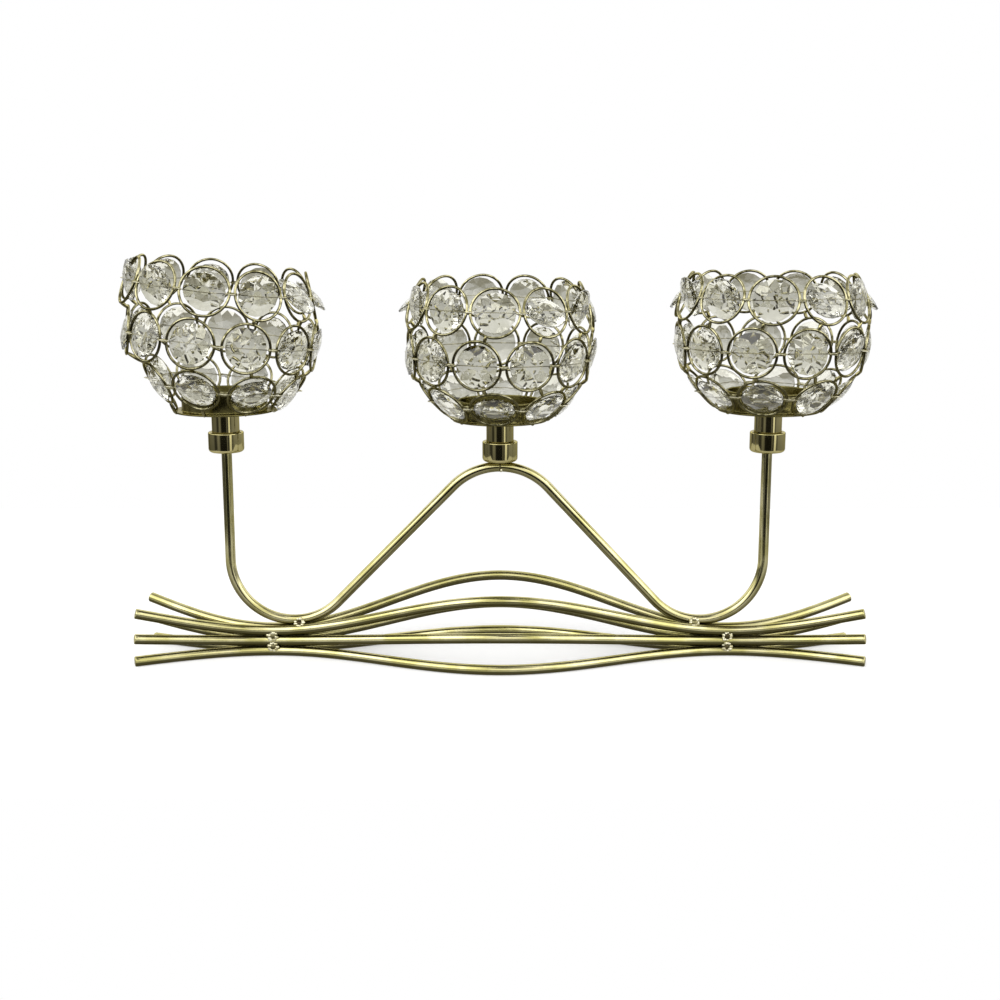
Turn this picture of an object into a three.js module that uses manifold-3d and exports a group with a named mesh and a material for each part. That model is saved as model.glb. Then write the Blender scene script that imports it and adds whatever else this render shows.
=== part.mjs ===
// Three-light candelabra: three openwork bowls of wire rings and cut crystals on a base of bent rods.
// Millimetres, +Z up, front towards -Y.
import * as THREE from 'three';
import { mergeVertices } from 'three/addons/utils/BufferGeometryUtils.js';
import Module from 'manifold-3d';

const wasm = await Module();
wasm.setup();

// Driving dimensions.
const CLEARANCE = 0.3;

const ROD_RADIUS = 2.75;
const ROD_SIDES = 8;
const ROD_HALF_LENGTH = 196;
const NECK_X = 124.5;
const BOW = 34.5;
const SPLAY = 20;
const FAN_ANGLES = { floor: 0, middle: 18.5, top: 42.5 };

const APEX_Z = 104.8;
const APEX_BEND_RADIUS = 35.5;
const STEM_BEND_RADIUS = 34;
const LEFT_STEM_X = -147;
const RIGHT_STEM_X = 143.6;

const SOCKET_WALL = 1.5;
const SOCKET_DEPTH = 8;
const SOCKET_WEB = 0.8;
const SOCKET_EDGE = 0.9;
const STEM_SEAT_DEPTH = 2.2;
const SIDE_SOCKET_Z = 113;

const SPIGOT_RADIUS = 7.35;
const SPIGOT_EXPOSED = 11.2;
const SPIGOT_EDGE = 0.6;
const SPIGOT_CLEARANCE = 0.15;

const CUP_HEIGHT = 11;
const CUP_WALL = 0.9;
const CUP_FLOOR = 1.4;
const FLANGE_WIDTH = 2.9;
const FLANGE_THICKNESS = 0.9;

const WIRE_RADIUS = 0.8;
const RING_RADIUS = 12.45;
const KNOT_HEIGHT = 2.4;
const SOLDER_WIDTH = 2;
const SOLDER_REACH = 5;
const COURSE_GAP = 0.55;
const BOTTOM_KNOT = 2.5;
const MIDDLE_KNOT = 1.3;
const TOP_KNOT = 0.4;

const LEFT_CAGE_LIFT = 3.2;
const CENTRE_CAGE_LIFT = 1.5;
const RIGHT_CAGE_LIFT = 0.5;
const LEFT_GIRTH = 1.4;
const RIGHT_GIRTH = 0.9;

const CRYSTAL_CLEARANCE = 1.2;
const CRYSTAL_THICKNESS = 7;
const CRYSTAL_SIDES = 8;
const THREAD_RADIUS = 0.25;

const BEAD_LENGTH = 4.4;
const BEAD_HEIGHT_SHARE = 0.86;
const BEAD_DEPTH_SHARE = 0.8;
const WELD_FROM_LOW_POINT = 3;

const ARMS = [
  { name: 'left', side: -1, stemX: LEFT_STEM_X },
  { name: 'right', side: 1, stemX: RIGHT_STEM_X },
];

// Courses of rings, from the cup up: rings in it, length of the knots between them, widest rock of a crystal.
const COURSES = [
  { name: 'bottom', count: 8, knot: BOTTOM_KNOT, rocking: 10 },
  { name: 'middle', count: 11, knot: MIDDLE_KNOT, rocking: 14 },
  { name: 'top', count: 11, knot: TOP_KNOT, rocking: 40 },
];

// The three lights. Each cage is bent by hand: it leans to the right, nods to the front, and its courses tilt
// inwards towards the top and are turned by angles of their own.
const LIGHTS = [
  { name: 'left', x: LEFT_STEM_X, onStem: true, lift: LEFT_CAGE_LIFT, extraGirth: LEFT_GIRTH, lean: 6.2, nod: 0,
    tilts: { bottom: -34, middle: -1, top: 17 }, phases: { bottom: -11.9, middle: -7.9, top: 1.4 } },
  { name: 'centre', x: 0, onStem: false, lift: CENTRE_CAGE_LIFT, extraGirth: 0, lean: 0.9, nod: 2.5,
    tilts: { bottom: -41, middle: -5, top: 18 }, phases: { bottom: -4.8, middle: -14.2, top: -3 } },
  { name: 'right', x: RIGHT_STEM_X, onStem: true, lift: RIGHT_CAGE_LIFT, extraGirth: RIGHT_GIRTH, lean: 0.4, nod: 0,
    tilts: { bottom: -40, middle: -7, top: 19 }, phases: { bottom: -16.2, middle: -21.5, top: -9.9 } },
];

// Sizes worked out from the driving dimensions.
const COURSE_PITCH = 2 * ROD_RADIUS + CLEARANCE;
const FLOOR_COURSE_Z = ROD_RADIUS * Math.cos(Math.PI / ROD_SIDES);
const ROD_COURSES = [
  { name: 'floor', z: FLOOR_COURSE_Z },
  { name: 'middle', z: FLOOR_COURSE_Z + COURSE_PITCH },
  { name: 'top', z: FLOOR_COURSE_Z + 2 * COURSE_PITCH },
];
const TOP_COURSE_Z = ROD_COURSES[2].z;
const ARM_LOW_Z = TOP_COURSE_Z + COURSE_PITCH * Math.sin(Math.PI / 3) + CLEARANCE;
const CENTRE_SOCKET_Z = APEX_Z + ROD_RADIUS + CLEARANCE;
const SOCKET_BORE = SPIGOT_RADIUS + SPIGOT_CLEARANCE;
const SOCKET_RADIUS = SOCKET_BORE + SOCKET_WALL;
const SOCKET_HEIGHT = STEM_SEAT_DEPTH + SOCKET_WEB + SOCKET_DEPTH;
const SEAT_BORE = ROD_RADIUS + CLEARANCE;
const SPIGOT_SUNK = SOCKET_DEPTH - CLEARANCE;
const RING_REACH = RING_RADIUS + WIRE_RADIUS;
const CRYSTAL_RADIUS = RING_RADIUS - WIRE_RADIUS - CRYSTAL_CLEARANCE;

// Steps of the facets. The joints on a ring are its two knots and its solder.
const BOW_STEPS = 12;
const END_STEPS = 3;
const APEX_STEPS = 6;
const STEM_BEND_STEPS = 12;
const UPPER_ARC_STEPS = 5;
const LOWER_ARC_STEPS = 4;
const JOINTS_ON_RING = 3;
const WIRE_SIDES = 3;
const LATHE_STEPS = 16;
const WIRE_FLAT = WIRE_RADIUS * Math.cos(Math.PI / WIRE_SIDES);

const goldMetal = new THREE.MeshStandardMaterial({ color: 0xc9bf86, roughness: 0.14, metalness: 1 });
const solderMetal = new THREE.MeshStandardMaterial({ color: 0xd8d3a8, roughness: 0.35, metalness: 1 });
const clearCrystal = new THREE.MeshStandardMaterial({ color: 0xe4e8ea, roughness: 0.02, metalness: 0 });

const candelabra = new THREE.Group();

function degrees(angle) {
  return THREE.MathUtils.degToRad(angle);
}

function addMesh(parent, name, geometry, material) {
  const mesh = new THREE.Mesh(geometry, material);
  mesh.name = name;
  parent.add(mesh);
  return mesh;
}

// Each course is as wide as its rings and knots make it, and stands on the course below.
for (const course of COURSES) {
  course.radius = (RING_REACH + course.knot / 2) / Math.tan(Math.PI / course.count);
}
for (const light of LIGHTS) {
  light.heights = {};
  let courseFoot = light.lift;
  for (const course of COURSES) {
    const halfHeight = RING_REACH * Math.cos(degrees(light.tilts[course.name]));
    light.heights[course.name] = courseFoot + halfHeight;
    courseFoot += 2 * halfHeight + COURSE_GAP;
  }
}

// A cup's flange reaches out to the feet of the bottom rings, less what the lean and nod bring inwards.
function flangeRadius(light) {
  const [bottom] = COURSES;
  const foot = bottom.radius + light.extraGirth + RING_REACH * Math.sin(degrees(light.tilts.bottom));
  const outOfTrue = degrees(Math.hypot(light.lean, light.nod));
  return foot - light.heights.bottom * Math.sin(outOfTrue) - CLEARANCE;
}
const CUP_RADIUS = Math.min(...LIGHTS.map(flangeRadius)) - FLANGE_WIDTH;

// Boolean joins.
function toSolid(geometry) {
  const bare = geometry.clone();
  bare.deleteAttribute('normal');
  bare.deleteAttribute('uv');
  const merged = mergeVertices(bare);
  return new wasm.Manifold(new wasm.Mesh({
    numProp: 3,
    vertProperties: new Float32Array(merged.attributes.position.array),
    triVerts: new Uint32Array(merged.index.array),
  }));
}

function joinAll(geometries) {
  let joined = toSolid(geometries[0]);
  for (const geometry of geometries.slice(1)) joined = joined.add(toSolid(geometry));
  const mesh = joined.getMesh();
  const result = new THREE.BufferGeometry();
  result.setAttribute('position', new THREE.BufferAttribute(mesh.vertProperties, 3));
  result.setIndex(new THREE.BufferAttribute(mesh.triVerts, 1));
  return result;
}

// Rod sections stand on a flat, so that the floor rods bear on a strip.
function regularSection(radius, sides) {
  const shape = new THREE.Shape();
  for (let corner = 0; corner < sides; corner += 1) {
    const angle = (2 * Math.PI * (corner + 0.5)) / sides;
    const point = [radius * Math.cos(angle), radius * Math.sin(angle)];
    if (corner === 0) shape.moveTo(...point);
    else shape.lineTo(...point);
  }
  shape.closePath();
  return shape;
}

function sweep(section, path, steps) {
  return new THREE.ExtrudeGeometry(section, { steps, bevelEnabled: false, extrudePath: path });
}

// Base rods: six alike, each bent in one plane, with a bow between the necks and splayed ends.
class WavyRodPath extends THREE.Curve {
  outward(x) {
    const reach = Math.abs(x);
    if (reach < NECK_X) return (BOW * (1 + Math.cos((Math.PI * reach) / NECK_X))) / 2;
    const share = (reach - NECK_X) / (ROD_HALF_LENGTH - NECK_X);
    return SPLAY * (1 - Math.cos((Math.PI * share) / 2));
  }

  // Steps are even over the bow and over each splayed end, so that facets meet at the necks.
  getPoint(share, target = new THREE.Vector3()) {
    const step = (share - 0.5) * (BOW_STEPS + 2 * END_STEPS);
    const inBow = Math.min(Math.abs(step), BOW_STEPS / 2);
    const inEnd = Math.abs(step) - inBow;
    const reach = (NECK_X * inBow) / (BOW_STEPS / 2) + ((ROD_HALF_LENGTH - NECK_X) * inEnd) / END_STEPS;
    return target.set(Math.sign(step) * reach, this.outward(reach), 0);
  }

  getUtoTmapping(share) {
    return share;
  }
}

const wavyRodPath = new WavyRodPath();

function rodCentre(side, course, x) {
  const fan = degrees(FAN_ANGLES[course.name]);
  const outward = wavyRodPath.outward(x);
  const y = side * (COURSE_PITCH / 2 + outward * Math.cos(fan));
  return new THREE.Vector3(x, y, course.z + outward * Math.sin(fan));
}

function addBaseRods() {
  for (const course of ROD_COURSES) {
    for (const [sideName, side] of [['front', -1], ['back', 1]]) {
      const fan = degrees(FAN_ANGLES[course.name]);
      const steps = BOW_STEPS + 2 * END_STEPS;
      const geometry = sweep(regularSection(ROD_RADIUS, ROD_SIDES), wavyRodPath, steps);
      const rod = addMesh(candelabra, `${sideName}_${course.name}_rod`, geometry, goldMetal);
      rod.rotation.x = side > 0 ? fan : Math.PI - fan;
      rod.position.set(0, (side * COURSE_PITCH) / 2, course.z);
    }
  }
}

// Arm rods: from the apex down a straight slope, round a bend that rides on the neck, and up as a stem.
class ArmPath extends THREE.Curve {
  constructor(side, stemX, topZ) {
    super();
    this.side = side;
    const reach = Math.abs(stemX);
    const bendX = reach - STEM_BEND_RADIUS;
    const bendZ = ARM_LOW_Z + STEM_BEND_RADIUS;
    const apexCentreZ = APEX_Z - APEX_BEND_RADIUS;
    const spacing = Math.hypot(bendX, bendZ - apexCentreZ);
    const slope = Math.asin((APEX_BEND_RADIUS + STEM_BEND_RADIUS) / spacing)
      - Math.atan2(bendZ - apexCentreZ, bendX);
    const start = Math.acos(CLEARANCE / 2 / APEX_BEND_RADIUS);
    const apexBend = new THREE.EllipseCurve(0, apexCentreZ, APEX_BEND_RADIUS, APEX_BEND_RADIUS,
      start, Math.PI / 2 - slope, true);
    const stemBend = new THREE.EllipseCurve(bendX, bendZ, STEM_BEND_RADIUS, STEM_BEND_RADIUS,
      1.5 * Math.PI - slope, 2 * Math.PI, false);
    this.stretches = [
      ...Array(APEX_STEPS).fill(apexBend),
      new THREE.LineCurve(apexBend.getPoint(1), stemBend.getPoint(0)),
      ...Array(STEM_BEND_STEPS).fill(stemBend),
      new THREE.LineCurve(stemBend.getPoint(1), new THREE.Vector2(reach, topZ)),
    ];
  }

  // One step per stretch: a bend takes as many stretches as it has steps.
  getPoint(share, target = new THREE.Vector3()) {
    const place = Math.min(share, 1) * this.stretches.length;
    const index = Math.min(Math.floor(place), this.stretches.length - 1);
    const curve = this.stretches[index];
    const first = this.stretches.indexOf(curve);
    const steps = this.stretches.lastIndexOf(curve) - first + 1;
    const point = curve.getPoint((place - first) / steps);
    return target.set(this.side * point.x, 0, point.y);
  }

  getUtoTmapping(share) {
    return share;
  }
}

function addArms() {
  const stemTop = SIDE_SOCKET_Z + STEM_SEAT_DEPTH - CLEARANCE;
  for (const arm of ARMS) {
    const path = new ArmPath(arm.side, arm.stemX, stemTop);
    const geometry = sweep(regularSection(ROD_RADIUS, ROD_SIDES), path, path.stretches.length);
    addMesh(candelabra, `${arm.name}_arm_rod`, geometry, goldMetal);
  }
}

// Weld beads lie in the groove between two neighbouring rods.
function addBead(name, lower, upper, outwards) {
  const along = new THREE.Vector3(1, 0, 0);
  const across = upper.clone().sub(lower).normalize();
  const out = new THREE.Vector3().crossVectors(along, across).normalize();
  if (out.dot(outwards) < 0) out.negate();
  const middle = lower.clone().add(upper).multiplyScalar(0.5);
  const geometry = new THREE.IcosahedronGeometry(1, 0);
  geometry.scale(BEAD_LENGTH / 2, (ROD_RADIUS * BEAD_DEPTH_SHARE) / 2, (ROD_RADIUS * BEAD_HEIGHT_SHARE) / 2);
  const bead = addMesh(candelabra, name, geometry, solderMetal);
  const basis = new THREE.Matrix4().makeBasis(along, out, new THREE.Vector3().crossVectors(along, out));
  bead.quaternion.setFromRotationMatrix(basis);
  bead.position.copy(middle).addScaledVector(out, ROD_RADIUS);
}

function addWelds() {
  for (const arm of ARMS) {
    for (const [sideName, side] of [['front', -1], ['back', 1]]) {
      const outwards = new THREE.Vector3(0, side, 0);
      const prefix = `${arm.name}_${sideName}`;
      const [floor, middle, top] = ROD_COURSES.map((course) => rodCentre(side, course, arm.side * NECK_X));
      addBead(`${prefix}_lower_weld`, floor, middle, outwards);
      addBead(`${prefix}_upper_weld`, middle, top, outwards);
      const armAtWeld = armWeldCentre(arm);
      const rodAtWeld = rodCentre(side, ROD_COURSES[2], armAtWeld.x);
      addBead(`${prefix}_arm_weld`, rodAtWeld, armAtWeld, outwards);
    }
  }
}

// The arm is welded to the rods just inwards of the low point of its bend.
function armWeldCentre(arm) {
  const reach = Math.abs(arm.stemX) - STEM_BEND_RADIUS - WELD_FROM_LOW_POINT;
  const rise = STEM_BEND_RADIUS - Math.sqrt(STEM_BEND_RADIUS ** 2 - WELD_FROM_LOW_POINT ** 2);
  return new THREE.Vector3(arm.side * reach, 0, ARM_LOW_Z + rise);
}

// Turned pieces.
function turned(points) {
  return latheAlongZ(points.map(([radius, z]) => new THREE.Vector2(radius, z)), LATHE_STEPS);
}

function latheAlongZ(points, steps) {
  const geometry = new THREE.LatheGeometry(points, steps);
  geometry.rotateX(Math.PI / 2);
  return geometry;
}

function socketGeometry(onStem) {
  const floorZ = SOCKET_HEIGHT - SOCKET_DEPTH;
  const underside = onStem
    ? [[0, STEM_SEAT_DEPTH], [SEAT_BORE, STEM_SEAT_DEPTH], [SEAT_BORE, 0]]
    : [[0, 0]];
  return turned([
    ...underside,
    [SOCKET_RADIUS - SOCKET_EDGE, 0],
    [SOCKET_RADIUS, SOCKET_EDGE],
    [SOCKET_RADIUS, SOCKET_HEIGHT - SOCKET_EDGE / 2],
    [SOCKET_RADIUS - SOCKET_EDGE / 2, SOCKET_HEIGHT],
    [SOCKET_BORE, SOCKET_HEIGHT],
    [SOCKET_BORE, floorZ],
    [0, floorZ],
  ]);
}

function spigotGeometry() {
  return turned([
    [0, -SPIGOT_SUNK],
    [SPIGOT_RADIUS - SPIGOT_EDGE, -SPIGOT_SUNK],
    [SPIGOT_RADIUS, SPIGOT_EDGE - SPIGOT_SUNK],
    [SPIGOT_RADIUS, SPIGOT_EXPOSED - CLEARANCE],
    [0, SPIGOT_EXPOSED - CLEARANCE],
  ]);
}

function cupGeometry(light) {
  return turned([
    [0, 0],
    [flangeRadius(light), 0],
    [flangeRadius(light), FLANGE_THICKNESS],
    [CUP_RADIUS, FLANGE_THICKNESS],
    [CUP_RADIUS, CUP_HEIGHT],
    [CUP_RADIUS - CUP_WALL, CUP_HEIGHT],
    [CUP_RADIUS - CUP_WALL, CUP_FLOOR],
    [0, CUP_FLOOR],
  ]);
}

// Cage of rings. Each seat on a course has a frame: along the course, up the cage, and outwards.
function seatMatrix(light, course, seat) {
  const azimuth = degrees(light.phases[course.name]) + (2 * Math.PI * seat) / course.count;
  const girth = course.radius + light.extraGirth;
  const tilt = degrees(light.tilts[course.name]);
  const outHorizontal = new THREE.Vector3(Math.sin(azimuth), -Math.cos(azimuth), 0);
  const along = new THREE.Vector3(Math.cos(azimuth), Math.sin(azimuth), 0);
  const vertical = new THREE.Vector3(0, 0, 1);
  const normal = outHorizontal.clone().multiplyScalar(Math.cos(tilt));
  normal.addScaledVector(vertical, Math.sin(tilt));
  const up = new THREE.Vector3().crossVectors(normal, along);
  const matrix = new THREE.Matrix4().makeBasis(along, up, normal);
  return matrix.setPosition(outHorizontal.multiplyScalar(girth));
}

function cageMatrix(light, course) {
  const lean = new THREE.Matrix4().makeRotationY(degrees(light.lean));
  const nod = new THREE.Matrix4().makeRotationX(degrees(light.nod));
  return nod.multiply(lean).setPosition(0, 0, light.heights[course.name]);
}

function ringMatrices(light, course) {
  const matrices = [];
  for (let seat = 0; seat < course.count; seat += 1) {
    matrices.push(cageMatrix(light, course).multiply(seatMatrix(light, course, seat)));
  }
  return matrices;
}

function ringCentre(ring) {
  return new THREE.Vector3().setFromMatrixPosition(ring);
}

// The bottom rings are soldered to the rim of the cup's flange, and the others to the nearest ring below.
function solderPoint(light, course, ring) {
  const centre = ringCentre(ring);
  const below = COURSES[COURSES.indexOf(course) - 1];
  if (!below) {
    return centre.setZ(0).setLength(flangeRadius(light) + CLEARANCE).setZ(FLANGE_THICKNESS / 2);
  }
  const distance = (other) => centre.distanceTo(ringCentre(other));
  const [nearest] = ringMatrices(light, below).sort((one, other) => distance(one) - distance(other));
  const point = centre.applyMatrix4(nearest.clone().invert()).setZ(0);
  return point.setLength(RING_RADIUS + WIRE_FLAT + CLEARANCE).applyMatrix4(nearest);
}

// Tip of a ring's solder in the ring's own frame. Out of the solder's reach it stays on the wire.
function solderTip(light, course, seat) {
  const ring = cageMatrix(light, course).multiply(seatMatrix(light, course, seat));
  const tip = solderPoint(light, course, ring).applyMatrix4(ring.clone().invert());
  const onWire = RING_RADIUS + WIRE_FLAT;
  const gap = Math.hypot(tip.x, tip.y) - onWire;
  if (gap < 0 || gap > SOLDER_REACH) tip.setZ(0).setLength(onWire);
  return tip;
}

function arcStations(from, to, steps) {
  const stations = [];
  for (let step = 0; step <= steps; step += 1) stations.push(from + ((to - from) * step) / steps);
  return stations;
}

// A ring's wire has a short facet at each side, for the knots, and one below, for the solder.
function ringStations(solderAngle) {
  const knotHalf = Math.asin(KNOT_HEIGHT / 2 / RING_RADIUS);
  const solderHalf = Math.asin(SOLDER_WIDTH / 2 / RING_RADIUS);
  const leftArc = solderAngle - solderHalf - Math.PI - knotHalf;
  const bothArcs = Math.PI - 2 * knotHalf - 2 * solderHalf;
  const leftSteps = Math.round((LOWER_ARC_STEPS * leftArc) / bothArcs);
  const upper = arcStations(knotHalf, Math.PI - knotHalf, UPPER_ARC_STEPS);
  const left = arcStations(Math.PI + knotHalf, solderAngle - solderHalf, leftSteps);
  const right = arcStations(solderAngle + solderHalf, 2 * Math.PI - knotHalf, LOWER_ARC_STEPS - leftSteps);
  return { stations: [...upper, ...left, ...right], soldered: upper.length + leftSteps };
}

function wireQuad(index, corners) {
  const [a, b, c, d] = corners;
  index.push(a, b, c, a, c, d);
}

function indexedGeometry(positions, index) {
  const geometry = new THREE.BufferGeometry();
  geometry.setAttribute('position', new THREE.Float32BufferAttribute(positions, 3));
  geometry.setIndex(index);
  return geometry;
}

function wirePoint(station, side) {
  const around = (2 * Math.PI * (side + 0.5)) / WIRE_SIDES;
  const reach = RING_RADIUS + WIRE_RADIUS * Math.cos(around);
  const out = WIRE_RADIUS * Math.sin(around);
  return new THREE.Vector3(reach * Math.cos(station), reach * Math.sin(station), out);
}

// The rings of a course in one piece: the wire opens at each knot, and a bridge joins it to its neighbour.
// The solder is a pyramid on the wire's facet below, with its tip close to what it holds.
function ringCourseGeometry(light, course) {
  const stationCount = UPPER_ARC_STEPS + LOWER_ARC_STEPS + JOINTS_ON_RING;
  const nearKnot = stationCount - 1;
  const farKnot = UPPER_ARC_STEPS;
  const outerSide = WIRE_SIDES - 1;
  const perRing = stationCount * WIRE_SIDES + 1;
  const positions = [];
  const index = [];
  const vertex = (seat, station, side) => {
    const ring = (seat % course.count) * perRing;
    return ring + (station % stationCount) * WIRE_SIDES + (side % WIRE_SIDES);
  };
  for (let seat = 0; seat < course.count; seat += 1) {
    const matrix = seatMatrix(light, course, seat);
    const tip = solderTip(light, course, seat);
    const { stations, soldered } = ringStations(Math.atan2(tip.y, tip.x) + 2 * Math.PI);
    const facet = (place, side) => [vertex(seat, place, side), vertex(seat, place + 1, side),
      vertex(seat, place + 1, side + 1), vertex(seat, place, side + 1)];
    stations.forEach((station, place) => {
      const isOpen = [nearKnot, farKnot, soldered].includes(place);
      for (let side = 0; side < WIRE_SIDES; side += 1) {
        positions.push(...wirePoint(station, side).applyMatrix4(matrix));
        if (!isOpen || side !== outerSide) wireQuad(index, facet(place, side));
      }
    });
    const tipIndex = vertex(seat, 0, 0) + stationCount * WIRE_SIDES;
    positions.push(...tip.applyMatrix4(matrix));
    const foot = facet(soldered, outerSide);
    foot.forEach((corner, edge) => index.push(corner, foot[(edge + 1) % foot.length], tipIndex));
    const near = facet(nearKnot, outerSide);
    const far = [vertex(seat + 1, farKnot + 1, outerSide), vertex(seat + 1, farKnot, outerSide),
      vertex(seat + 1, farKnot, 0), vertex(seat + 1, farKnot + 1, 0)];
    near.forEach((corner, edge) => {
      const next = (edge + 1) % near.length;
      wireQuad(index, [corner, near[next], far[next], far[edge]]);
    });
  }
  return indexedGeometry(positions, index);
}

// Crystals of one course, threaded on one wire that runs outside the knots.
function threadGeometry(light, course) {
  const corners = [];
  const reach = (WIRE_RADIUS + THREAD_RADIUS + CLEARANCE) / RING_RADIUS;
  const halfPitch = Math.PI / course.count;
  for (let seat = 0; seat < course.count; seat += 1) {
    const inCrystal = ringCentre(seatMatrix(light, course, seat));
    const overKnot = inCrystal.clone().applyAxisAngle(new THREE.Vector3(0, 0, 1), halfPitch);
    overKnot.divideScalar(Math.cos(halfPitch) - reach * Math.sin(halfPitch));
    corners.push(inCrystal, overKnot);
  }
  const positions = [];
  const index = [];
  corners.forEach((corner, place) => {
    const outward = corner.clone().normalize();
    for (let side = 0; side < WIRE_SIDES; side += 1) {
      const around = (2 * Math.PI * side) / WIRE_SIDES;
      const point = corner.clone().addScaledVector(outward, THREAD_RADIUS * Math.cos(around));
      positions.push(point.x, point.y, THREAD_RADIUS * Math.sin(around));
      const here = place * WIRE_SIDES;
      const ahead = ((place + 1) % corners.length) * WIRE_SIDES;
      const next = (side + 1) % WIRE_SIDES;
      wireQuad(index, [here + side, ahead + side, ahead + next, here + next]);
    }
  });
  return indexedGeometry(positions, index);
}

function crystalGeometry() {
  return latheAlongZ([
    new THREE.Vector2(0, -CRYSTAL_THICKNESS / 2),
    new THREE.Vector2(CRYSTAL_RADIUS, 0),
    new THREE.Vector2(0, CRYSTAL_THICKNESS / 2),
  ], CRYSTAL_SIDES);
}

// Each crystal hangs rocked on the wire by an angle of its own.
function crystalStringGeometry(light, course) {
  const pieces = [threadGeometry(light, course)];
  for (let seat = 0; seat < course.count; seat += 1) {
    const crystal = crystalGeometry();
    crystal.rotateX(degrees(course.rocking * Math.sin(seat * seat + light.phases[course.name])));
    pieces.push(crystal.applyMatrix4(seatMatrix(light, course, seat)));
  }
  return joinAll(pieces);
}

function addLight(light) {
  const stand = new THREE.Group();
  stand.position.set(light.x, 0, light.onStem ? SIDE_SOCKET_Z : CENTRE_SOCKET_Z);
  candelabra.add(stand);
  addMesh(stand, `${light.name}_socket`, socketGeometry(light.onStem), goldMetal);
  addMesh(stand, `${light.name}_spigot`, spigotGeometry(), goldMetal).position.z = SOCKET_HEIGHT;

  const bowl = new THREE.Group();
  bowl.position.z = SOCKET_HEIGHT + SPIGOT_EXPOSED;
  stand.add(bowl);
  addMesh(bowl, `${light.name}_cup`, cupGeometry(light), goldMetal);
  for (const course of COURSES) {
    const cage = new THREE.Group();
    cage.applyMatrix4(cageMatrix(light, course));
    bowl.add(cage);
    const prefix = `${light.name}_${course.name}`;
    addMesh(cage, `${prefix}_rings`, ringCourseGeometry(light, course), goldMetal);
    addMesh(cage, `${prefix}_crystals`, crystalStringGeometry(light, course), clearCrystal);
  }
}

// The frame's origin is the middle of the extents, on the floor.
function centreOnOrigin() {
  const extents = new THREE.Box3().setFromObject(candelabra, true);
  const middle = extents.getCenter(new THREE.Vector3()).setZ(0);
  for (const piece of candelabra.children) piece.position.sub(middle);
}

addBaseRods();
addArms();
addWelds();
for (const light of LIGHTS) addLight(light);
centreOnOrigin();

export default candelabra;
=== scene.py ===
"""Looks of the three-light candelabra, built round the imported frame.

Sizes are in millimetres and angles in degrees, and the pieces are placed in metres.
"""

import math

import bpy
import numpy as np
from mathutils import Matrix, Vector


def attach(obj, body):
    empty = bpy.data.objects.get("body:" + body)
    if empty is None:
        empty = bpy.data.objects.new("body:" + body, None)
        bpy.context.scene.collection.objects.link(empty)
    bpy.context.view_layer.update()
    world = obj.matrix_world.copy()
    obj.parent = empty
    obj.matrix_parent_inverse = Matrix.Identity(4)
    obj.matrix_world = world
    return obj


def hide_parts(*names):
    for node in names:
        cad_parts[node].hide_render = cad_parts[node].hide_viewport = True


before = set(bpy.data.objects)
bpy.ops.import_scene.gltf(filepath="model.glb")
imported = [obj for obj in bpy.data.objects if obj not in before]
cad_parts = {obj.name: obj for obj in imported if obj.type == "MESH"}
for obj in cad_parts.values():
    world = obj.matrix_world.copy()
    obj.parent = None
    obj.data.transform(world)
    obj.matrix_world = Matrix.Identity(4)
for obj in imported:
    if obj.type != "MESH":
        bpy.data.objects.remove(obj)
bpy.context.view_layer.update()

MM = 0.001
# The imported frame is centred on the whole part, which moves the part's own origin by this much.
SHIFT = np.array([0.5651, -0.0369, 0.0])

# Sizes that the solids have too.
CLEARANCE = 0.3
ROD_RADIUS = 2.75
ROD_HALF_LENGTH = 196.0
NECK_X = 124.5
BOW = 34.5
SPLAY = 20.0
FAN_ANGLES = {"floor": 0.0, "middle": 18.5, "top": 42.5}
APEX_Z = 104.8
APEX_BEND_RADIUS = 35.5
STEM_BEND_RADIUS = 34.0
SOCKET_HEIGHT = 11.0
SOCKET_DEPTH = 8.0
SOCKET_RADIUS = 9.0
SOCKET_BORE = 7.5
STEM_SEAT_DEPTH = 2.2
SIDE_SOCKET_Z = 113.0
SPIGOT_RADIUS = 7.35
SPIGOT_EXPOSED = 11.2
SPIGOT_SUNK = 7.7
CUP_HEIGHT = 11.0
CUP_WALL = 0.9
CUP_FLOOR = 1.4
FLANGE_WIDTH = 2.9
FLANGE_THICKNESS = 0.9
WIRE_RADIUS = 0.8
RING_RADIUS = 12.45
KNOT_HEIGHT = 2.4
COURSE_GAP = 0.55
CRYSTAL_RADIUS = 10.6
THREAD_RADIUS = 0.25
WELD_FROM_LOW_POINT = 3.0

# Edges of the rods and the turned pieces.
ROD_END_ROUND = 0.55
ARM_END_ROUND = 0.5
COLLAR_SWELL = 0.5
SEAT_ROUND = 0.3
COLLAR_FOOT_ROUND = 1.9
COLLAR_TOP_ROUND = 0.8
BORE_ROUND = 0.2
SPIGOT_FOOT_ROUND = 0.6
SPIGOT_TOP_ROUND = 0.25
FLANGE_FOOT_ROUND = 0.4
FLANGE_TOP_ROUND = 0.3
CUP_FOOT_ROUND = 0.5
LIP_WIDTH = 0.35
LIP_HEIGHT = 0.9
LIP_FOOT = 1.3
LIP_ROUND = 0.2
RIM_ROUND = 0.5
CUP_FLOOR_ROUND = 1.6

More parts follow.
